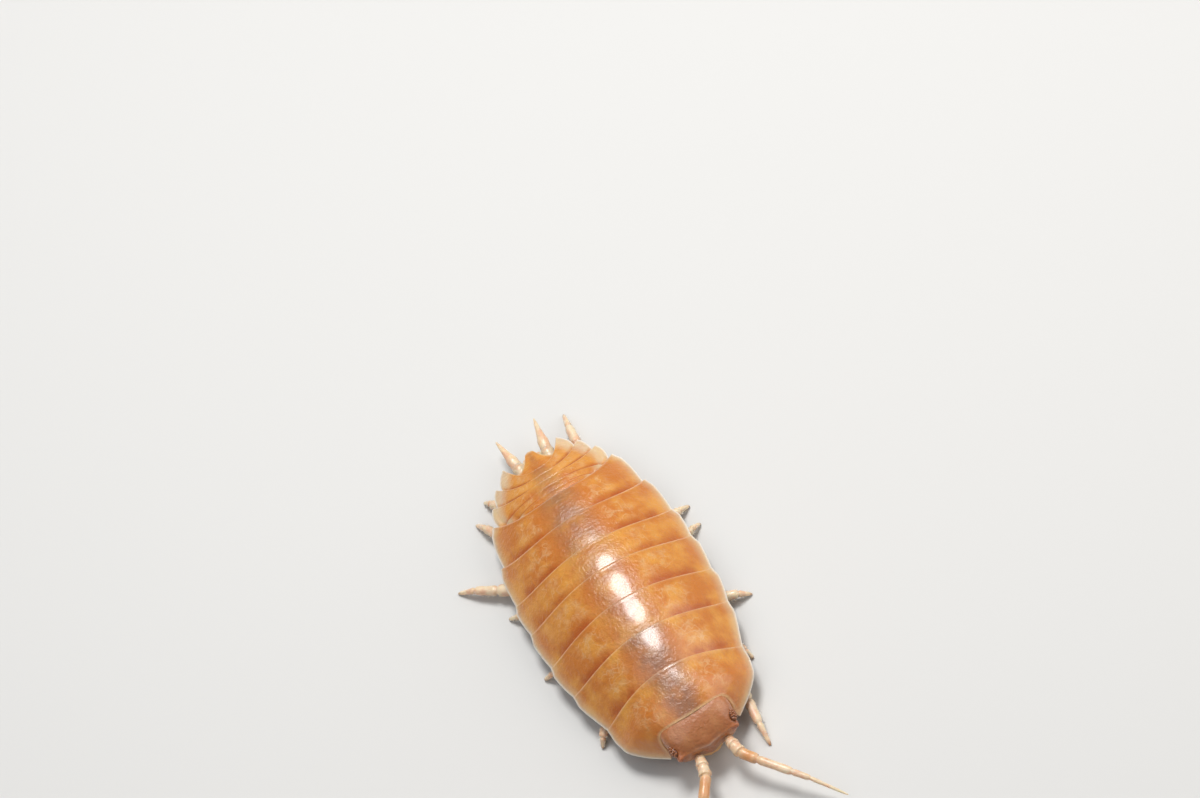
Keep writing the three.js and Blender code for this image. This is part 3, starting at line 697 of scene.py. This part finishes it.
def head_form():
    """Boxy rings whose sizes are curves through HEAD_RINGS, closed by rounding off at both ends."""
    half, top, low = (curve_through(HEAD_RINGS[:, [0, i]]) for i in (1, 2, 3))
    t = np.linspace(0, 1, 150)[:, None]
    s = mix(HEAD_RINGS[-1, 0], HEAD_RINGS[0, 0], t)
    shrink = round_off((t - 0.9) / 0.1) * round_off((0.04 - t) / 0.04)
    sideways, upward = boxy_ring(np.linspace(0, 2 * np.pi, 180, endpoint=False)[None, :], 0.72)
    x = sideways * half(s) * shrink
    z = (top(s) + low(s)) / 2 + upward * (top(s) - low(s)) / 2 * shrink
    points = np.stack([x, s + 0 * x, z], -1)
    for centre, push, radius in BUMPS:
        for side in (1, -1) if centre[0] else (1,):
            flip = np.array([side, 1, 1])
            near = bell(np.linalg.norm(points - np.array(centre) * flip, axis=-1) / radius)
            points = points + near[..., None] * np.array(push) * flip
    brow = bell((points[..., 2] - 0.68) / 0.05) * smooth((-0.2 - points[..., 1]) / 0.12)
    points = points + brow[..., None] * np.array([0, -0.035, 0.015])
    lobes = bell((np.abs(points[..., 0]) - 1.36) / 0.25) * bell((points[..., 1] + 0.3) / 0.3)
    neck = bell((points[..., 1] - 0.85) / 0.12) * smooth((points[..., 2] - 0.9) / 0.2)
    # On the head the edge zone is a painted highlight along the brow's front edge near the midline, and the
    # lapped zone is the front lobes' own reddish tone.
    zones = dict(lapped=0.6 * lobes, edge=0.3 * brow * bell(points[..., 0] / 0.5), midline=0.2 * (1 - neck))
    points[..., 2] += LEVEL
    return Form().add(points, grid_faces(*points.shape[:2], closed_columns=True), **zones)


make_piece("head_skin", head_form(), HEAD_SHELL, ["head"])

# %% [markdown]
# ## Eyes
# Each eye is a cluster of about twenty round lenses on a low oval mound at the side of the head. A bump
# pattern would look flat from the side. The mound is an oval ball instead, and the lenses are small balls
# set on it in staggered rows.

# %% Make the eyes
EYE_CENTRE = np.array([1.38, 0.04, 0.8 + LEVEL])
EYE_RADII = np.array([0.14, 0.25, 0.17])
EYE_YAW = -0.2
EYE_TILT = -0.5
LENS_RADIUS = 0.054
LENS_ROWS = 5


def ball(steps_round, steps_down):
    """Points and faces of a ball of radius 1, its poles drawn to a point."""
    down = np.linspace(0, np.pi, steps_down)[:, None]
    turn = np.linspace(0, 2 * np.pi, steps_round, endpoint=False)[None, :]
    points = [np.sin(down) * np.cos(turn), np.sin(down) * np.sin(turn), np.cos(down) + 0 * turn]
    return np.stack(points, -1), grid_faces(steps_down, steps_round, closed_columns=True)


def eye_form(side):
    """An oval mound with lenses at staggered steps round and along its outer face."""
    turn = Matrix.Rotation(side * EYE_YAW, 3, "Z") @ Matrix.Rotation(side * EYE_TILT, 3, "Y")
    turn = np.array(turn).T
    middle = EYE_CENTRE * np.array([side, 1, 1])
    points, faces = ball(32, 17)
    form = Form().add((points * EYE_RADII * 0.94) @ turn + middle, faces)
    points, faces = ball(12, 7)
    for row, around in enumerate(np.linspace(-1.0, 1.0, LENS_ROWS)):
        for along in np.linspace(-0.8, 0.8, LENS_ROWS - row % 2):
            level = np.sqrt(1 - along**2)
            seat = np.array([side * level * np.cos(around), along, level * np.sin(around)]) * EYE_RADII * 0.95
            form.add((points * LENS_RADIUS + seat) @ turn + middle, faces, lens=1.0)
    return form


for name, side in (("left", 1), ("right", -1)):
    make_piece(f"eye_{name}_lenses", eye_form(side), EYE, [f"eye_{name}"])

# %% [markdown]
# ## Mouthparts
# Under the head the mouthparts close like a pair of doors. They could be made leaf by leaf, but a low block
# with a line down its middle is enough, as only a view from below shows it.

# %% Make the mouthparts
MOUTH_RADII = np.array([0.7, 0.7, 0.34])
MOUTH_CENTRE = np.array([0, 0.35, LEVEL - 0.27])


def mouth_form():
    """An oval ball, flattened, with a groove along its midline."""
    points, faces = ball(40, 21)
    points = points * MOUTH_RADII
    groove = bell(points[..., 0] / 0.06) * (points[..., 2] < 0)
    points[..., 2] += 0.08 * groove
    return Form().add(points + MOUTH_CENTRE, faces)


make_piece("mouthparts_skin", mouth_form(), BELLY, ["mouthparts"])

# %% [markdown]
# ## Jointed limbs
# A leg or feeler is a row of hard tubes, the articles, each a little wider towards its far end and drawn in
# at the joint. Separate tubes would show gaps. It is one profile carried along a path: the radius is a
# formula of how far along each article a ring is. Short stiff bristles are slim cones set on it, as real
# mesh, because the export keeps no particle hair.

# %% Limb tube
RINGS_PER_ARTICLE = 22
SIDES = 20
SMOOTHING_PASSES = 3
# A limb's rings are held upright by a direction that no limb follows.
STEADY = np.array([0.02, 0.03, 1.0]) / np.linalg.norm([0.02, 0.03, 1.0])


def unit(vectors):
    """Vectors shortened or stretched to length 1."""
    return vectors / np.linalg.norm(vectors, axis=1, keepdims=True)


def limb_tube(joints, radii, pinch=0.3):
    """Rings along straight articles, as their centres, radii, and directions to the right, up and along.

    The radius runs between the joints' radii, swells towards each article's far end and draws in at its ends.
    """
    joints, radii = np.array(joints, float), np.array(radii, float)
    t = np.linspace(0, 1, RINGS_PER_ARTICLE, endpoint=False)
    centre = mix(joints[:-1, None], joints[1:, None], t[None, :, None]).reshape(-1, 3)
    centre = np.concatenate([centre, joints[-1:]])
    swelling = 1 + 0.14 * bell((t - 0.78) / 0.2)
    drawn = 1 - pinch * np.maximum(bell(t / 0.06), bell((t - 1) / 0.05))
    radius = (mix(radii[:-1, None], radii[1:, None], t[None, :]) * (swelling * drawn)[None, :]).ravel()
    radius = np.append(radius, radii[-1] * (1 - pinch))
    for _ in range(SMOOTHING_PASSES):
        centre[1:-1] = (centre[:-2] + 2 * centre[1:-1] + centre[2:]) / 4
    along = unit(np.gradient(centre, axis=0))
    right = unit(np.cross(along, STEADY))
    return centre, radius, right, np.cross(right, along), along


def ring_round(first, second, sides):
    """Rings of directions: a cosine of the first and a sine of the second, for each of their rows."""
    angle = np.linspace(0, 2 * np.pi, sides, endpoint=False)[None, :, None]
    return first[:, None] * np.cos(angle) + second[:, None] * np.sin(angle)


def add_tube(form, tube, flat=1.0, **zones):
    """Adds a tube's rings as closed faces, each end drawn to a point. Zones are numbers or one for a ring."""
    centre, radius, right, top, along = tube
    points = centre[:, None] + ring_round(right, flat * top, SIDES) * radius[:, None, None]
    ends = np.array([centre[0], centre[-1] + along[-1] * radius[-1]])
    first, last = np.repeat(ends[:, None, None], SIDES, 2)
    points = np.concatenate([first, points, last])
    for key, value in zones.items():
        zones[key] = np.pad(np.broadcast_to(value, len(centre)), 1, mode="edge")[:, None]
    return form.add(points, grid_faces(*points.shape[:2], closed_columns=True), **zones)


print("a limb has", RINGS_PER_ARTICLE, "rings of", SIDES, "points to an article")

# %% Bristles
BRISTLE_SIDES = 5
BRISTLE_LEAN = 0.7
# Bristles stay over the floor: their tips and roots are no lower than this.
LOWEST_TIP = 0.02
LOWEST_ROOT = 0.012


def bristles(form, tube, rng, count, first, last, length, thickness, below=False):
    """Slim cones at random places on a tube from its first share to its last, leaning towards its tip.

    Each points out from the tube, with a share of the tube's own direction, and is 0.6 to 1 of the length.
    """
    centre, radius, right, top, along = tube
    i = (rng.uniform(first, last, count) * (len(centre) - 1)).astype(int)
    angle = rng.uniform(np.pi if below else 0, 2 * np.pi, count)[:, None]
    out = right[i] * np.cos(angle) + top[i] * np.sin(angle)
    root = centre[i] + out * radius[i][:, None] * 0.85
    aim = unit(out + along[i] * BRISTLE_LEAN)
    tip = root + aim * (length * rng.uniform(0.6, 1.0, count))[:, None]
    tip[:, 2] = np.maximum(tip[:, 2], LOWEST_TIP)
    side = unit(np.cross(aim, along[i] + np.array([0.1, 0.2, 0.3])))
    base = root[:, None] + ring_round(side, np.cross(aim, side), BRISTLE_SIDES) * thickness
    points = np.concatenate([base, tip[:, None], root[:, None]], 1)
    points[..., 2] = np.maximum(points[..., 2], LOWEST_ROOT)
    k = np.arange(BRISTLE_SIDES)
    after = (k + 1) % BRISTLE_SIDES
    mantle = np.stack([k, after, 0 * k + BRISTLE_SIDES], 1)
    foot = np.stack([after, k, 0 * k + BRISTLE_SIDES + 1], 1)
    starts = np.arange(count)[:, None, None] * points.shape[1]
    form.add(points, (np.concatenate([mantle, foot])[None] + starts).reshape(-1, 3), pale=1.0)


# %% [markdown]
# ## Legs
# Fourteen legs, seven to a side, reach out from under the plates, each with a knee, a wrist and a claw that
# rests on the floor. A rig could pose one leg fourteen times, but a still animal needs only the places, so
# each leg is the same formula through its own.

# %% Leg places
# Outward x and s of each leg's knee, wrist and claw, from the first pair to the last, as the animal walks.
LEGS = {
    "left": [
        [[2.15, 2.22], [2.22, 0.97], [2.03, -1.08]], [[2.5, 3.97], [3.0, 3.37], [3.3, 2.77]],
        [[2.6, 5.97], [3.6, 5.67], [4.6, 5.33]], [[2.55, 8.47], [3.4, 8.97], [4.35, 9.42]],
        [[2.5, 9.87], [3.4, 10.12], [4.35, 10.4]], [[2.2, 12.07], [2.7, 12.67], [3.05, 13.37]],
        [[1.75, 14.07], [1.85, 15.47], [2.0, 17.22]],
    ],
    "right": [
        [[2.1, 2.82], [2.45, 2.52], [2.4, 1.97]], [[2.6, 3.87], [3.2, 3.42], [3.72, 2.92]],
        [[2.5, 6.37], [3.4, 6.72], [4.26, 7.07]], [[2.4, 8.87], [3.3, 9.62], [4.2, 10.37]],
        [[2.6, 10.57], [4.0, 11.57], [5.4, 12.67]], [[2.15, 12.57], [2.8, 13.77], [3.35, 14.97]],
        [[1.65, 13.87], [2.1, 14.77], [2.6, 15.67]],
    ],
}
LEG_ROOT_X = 1.3
LEG_ROOT_S = [2.05, 3.85, 5.65, 7.35, 8.95, 10.5, 12.1]
# The heights of root, thigh, knee, wrist, palm and claw over the floor.
LEG_HEIGHTS = [1.24, 0.84, 0.616, 0.45, 0.37, 0.045]
LEG_RADII = [0.26, 0.24, 0.24, 0.23, 0.15, 0.05]
# How many bristles, from and to which share of a leg, how long and thick, and whether only on its
# underside.
STIFF_BRISTLES = (46, 0.4, 0.9, 0.2, 0.018, True)
FINE_BRISTLES = (70, 0.3, 0.95, 0.12, 0.011, False)
WELD_FINE = 0.0005
RANDOM_SEED = 7
print(sum(len(legs) for legs in LEGS.values()), "legs")


# %% Make the legs
def leg_form(side, root_s, bends, rng):
    """A tube from the root to the claw, with stiff bristles on its underside and fine ones all round."""
    knee, wrist, claw = (np.array(bend, float) for bend in bends)
    root = np.array([LEG_ROOT_X, root_s])
    flat = [root, mix(root, knee, 0.45), knee, wrist, mix(wrist, claw, 0.55), claw]
    tube = limb_tube([(side * place[0], place[1], z) for place, z in zip(flat, LEG_HEIGHTS)], LEG_RADII)
    share = np.linspace(0, 1, len(tube[0]))
    tint, tip = 0.18 * bell((share * 5) % 1 / 0.15), 0.7 * smooth((share - 0.95) / 0.05)
    form = add_tube(Form(), tube, tint=tint, claw=tip)
    bristles(form, tube, rng, *STIFF_BRISTLES)
    bristles(form, tube, rng, *FINE_BRISTLES)
    return form


rng = np.random.default_rng(RANDOM_SEED)
for name, side in (("left", 1), ("right", -1)):
    for i, bends in enumerate(LEGS[name]):
        form = leg_form(side, LEG_ROOT_S[i], bends, rng)
        make_piece(f"leg_{name}_{i + 1}_skin", form, LIMB, [f"leg_{name}_{i + 1}"], WELD_FINE)

# %% [markdown]
# ## Feelers
# The second antennae have stout lower articles and a thin whip of two articles with a fine tip. The first
# pair are tiny stubs and belong to the head. A feeler could be two pieces, as in the solids, but one skin
# hides the step between stalk and whip.

# %% Make the feelers
# Outward x, s and height over the plate edges of each joint, from the root to the tip.
FEELERS = {
    "left": [[0.74, -0.38, 0.16], [0.8, -0.85, 0.24], [0.87, -1.3, 0.25], [1.3, -1.98, 0.25],
             [2.22, -3.26, 0.13], [2.68, -3.85, 0.0], [3.6, -5.15, -0.45]],
    "right": [[0.62, -0.42, 0.16], [0.72, -0.95, 0.27], [0.8, -1.4, 0.3], [1.42, -2.3, 0.25],
              [2.15, -3.8, 0.08], [2.55, -4.4, -0.1], [3.3, -5.4, -0.5]],
}
FEELER_RADII = [0.2, 0.24, 0.24, 0.19, 0.15, 0.1, 0.035]
FEELER_HAIRS = (300, 0.05, 0.98, 0.08, 0.011)


def on_side(side, places):
    """Outward x, s and height over the plate edges, as places on the left (1) or right (-1) of the animal."""
    return np.array(places) * np.array([side, 1, 1]) + np.array([0, 0, LEVEL])


def feeler_form(side, joints, rng):
    """A tube through the articles, more orange in the middle ones, with fine short hairs all over."""
    tube = limb_tube(on_side(side, joints), FEELER_RADII, pinch=0.26)
    share = np.linspace(0, 1, len(tube[0]))
    form = add_tube(Form(), tube, tint=0.9 * bell((share - 0.42) / 0.1) + 0.25 * bell(share / 0.1))
    bristles(form, tube, rng, *FEELER_HAIRS)
    return form


for name, side in (("left", 1), ("right", -1)):
    nodes = [f"antenna_{name}_stalk", f"antenna_{name}_whip"]
    form = feeler_form(side, FEELERS[name], rng)
    make_piece(f"antenna_{name}_skin", form, LIMB, nodes, WELD_FINE)

# %% [markdown]
# ## Tail lances
# The uropods are flat pointed lances on stout bases beside the telson, each with a small inner prong. They
# could be flat blades, but light shows their roundness, so they are flattened tubes like the legs.

# %% Make the tail lances
# Each tube's joints as outward x, s and height over the plate edges, its radii, its pinch and its flatness.
LANCE_TUBES = {
    "base": ([[0.66, 15.0, -0.06], [0.67, 15.75, -0.06]], [0.22, 0.27], 0.03, 0.9),
    "lance": ([[0.67, 15.6, -0.06], [0.76, 16.35, -0.06], [0.9, 17.35, -0.1]], [0.26, 0.19, 0.03], 0.0, 0.75),
    "prong": ([[0.6, 15.4, -0.16], [0.3, 15.95, -0.2]], [0.15, 0.05], 0.05, 0.8),
}
LANCE_HAIRS = (60, 0.1, 0.97, 0.06, 0.006)


def lance_form(side, rng):
    """A stout base, a flattened lance and a small inner prong, each a tube, with fine hairs on the lance."""
    form = Form()
    tubes = {}
    for key, (joints, radii, pinch, flat) in LANCE_TUBES.items():
        tubes[key] = limb_tube(on_side(side, joints), radii, pinch)
        add_tube(form, tubes[key], flat, tint=0.1)
    bristles(form, tubes["lance"], rng, *LANCE_HAIRS)
    return form


for name, side in (("left", 1), ("right", -1)):
    make_piece(f"uropod_{name}_skin", lance_form(side, rng), LIMB, [f"uropod_{name}"], WELD_FINE)

# %% [markdown]
# ## Floor
# The animal walks on bark. A plain pale card takes its place, as under a museum piece, because it shows the
# outline and the shadow from every side. It lies a hair under the feet.

# %% Make the floor
FLOOR_HALF = 0.6
FLOOR_Z = -0.00001
floor_mesh = bpy.data.meshes.new("floor")
corners = [(x * FLOOR_HALF, y * FLOOR_HALF, FLOOR_Z) for x, y in ((-1, -1), (1, -1), (1, 1), (-1, 1))]
floor_mesh.from_pydata(corners, [], [(0, 1, 2, 3)])
floor = bpy.data.objects.new("floor", floor_mesh)
bpy.context.scene.collection.objects.link(floor)
# Matt card, rolled and uncoated: pale, with no shine.
floor_mesh.materials.append(make_material("matt_pale_card", colour("#D2D0CC"), {"Roughness": 0.9}))
print("floor", 2 * FLOOR_HALF, "m wide")

# %% [markdown]
# ## Lights
# A small lamp behind the tail gives the row of highlights down the back, and a wide weak one behind it a
# soft sheen round them. Two broad lamps, to the left and over the right, fill the rest. One strong lamp
# would give hard shadows under the plates, which a soft studio light doesn't.

# %% Make the lights
# Each lamp's place and diameter in metres, its power in watts, and its tint.
LAMPS = {
    "tail_box": ((0.026, 0.058, 0.138), 0.058, 0.18, (0.98, 0.99, 1)),
    "tail_veil": ((0.05, 0.1, 0.24), 0.26, 0.12, (0.94, 0.96, 1)),
    "side_box": ((0.17, -0.03, 0.11), 0.2, 0.165, (1, 0.98, 0.95)),
    "top_box": ((-0.12, -0.06, 0.23), 0.25, 0.155, (0.97, 0.98, 1)),
}
LAMP_AIM = Vector((0, 0, 0.002))
SKY_TINT = (0.9, 0.93, 1, 1)
SKY_STRENGTH = 0.18

for name, (place, size, power, tint) in LAMPS.items():
    lamp = bpy.data.lights.new(name, "AREA")
    lamp.shape = "DISK"
    lamp.size = size
    lamp.energy = power
    lamp.color = tint
    holder = bpy.data.objects.new(name, lamp)
    holder.rotation_euler = (LAMP_AIM - Vector(place)).to_track_quat("-Z", "Y").to_euler()
    holder.location = place
    bpy.context.scene.collection.objects.link(holder)
world = bpy.data.worlds.new("studio")
world.use_nodes = True
world.node_tree.nodes["Background"].inputs["Color"].default_value = SKY_TINT
world.node_tree.nodes["Background"].inputs["Strength"].default_value = SKY_STRENGTH
bpy.context.scene.world = world
bpy.context.scene.view_settings.view_transform = "Standard"
print(len(LAMPS), "lamps")

# %% [markdown]
# ## Camera
# The picture was taken from the head's side, looking down at about 58 degrees, with the camera rolled so
# that the head points to the lower right. A close camera would swell the head, so a long lens from far off
# keeps lengths true. It is placed so that the front lobes' tips fall on their own place in the picture.

# %% Make the camera
IMAGE_SIZE = np.array([1200, 798])
PIXELS_PER_MM = 25.1
ELEVATION = np.radians(58)
# Where s = 0 on the midline is in the picture, in pixels, and which way the animal's left points there.
HEAD_PIXEL = np.array([709.0, 743.0])
LEFT_ON_IMAGE = np.array([0.847, 0.531]) / np.hypot(0.847, 0.531)
DISTANCE = 0.6
SENSOR = 36

look = np.array([0, np.cos(ELEVATION), -np.sin(ELEVATION)])
left = np.array([1.0, 0, 0])
tailward = np.array([0, np.sin(ELEVATION), np.cos(ELEVATION)])
right_axis = LEFT_ON_IMAGE[0] * left - LEFT_ON_IMAGE[1] * tailward
up_axis = LEFT_ON_IMAGE[1] * left + LEFT_ON_IMAGE[0] * tailward
shift = (IMAGE_SIZE / 2 - HEAD_PIXEL) * np.array([1, -1]) / PIXELS_PER_MM * MM
aim = to_frame(np.array([0, 0, LEVEL])) + shift[0] * right_axis + shift[1] * up_axis
camera_data = bpy.data.cameras.new("camera")
camera_data.sensor_width = SENSOR
camera_data.lens = SENSOR * DISTANCE / (IMAGE_SIZE[0] / PIXELS_PER_MM * MM)
camera_data.clip_start = 0.05
camera_data.clip_end = 5
camera = bpy.data.objects.new("camera", camera_data)
turn = np.eye(4)
turn[:3] = np.stack([right_axis, up_axis, -look, aim - look * DISTANCE], 1)
camera.matrix_world = Matrix(turn.tolist())
bpy.context.scene.collection.objects.link(camera)
bpy.context.scene.camera = camera
print("camera lens", round(camera_data.lens, 1), "mm at", DISTANCE, "m")
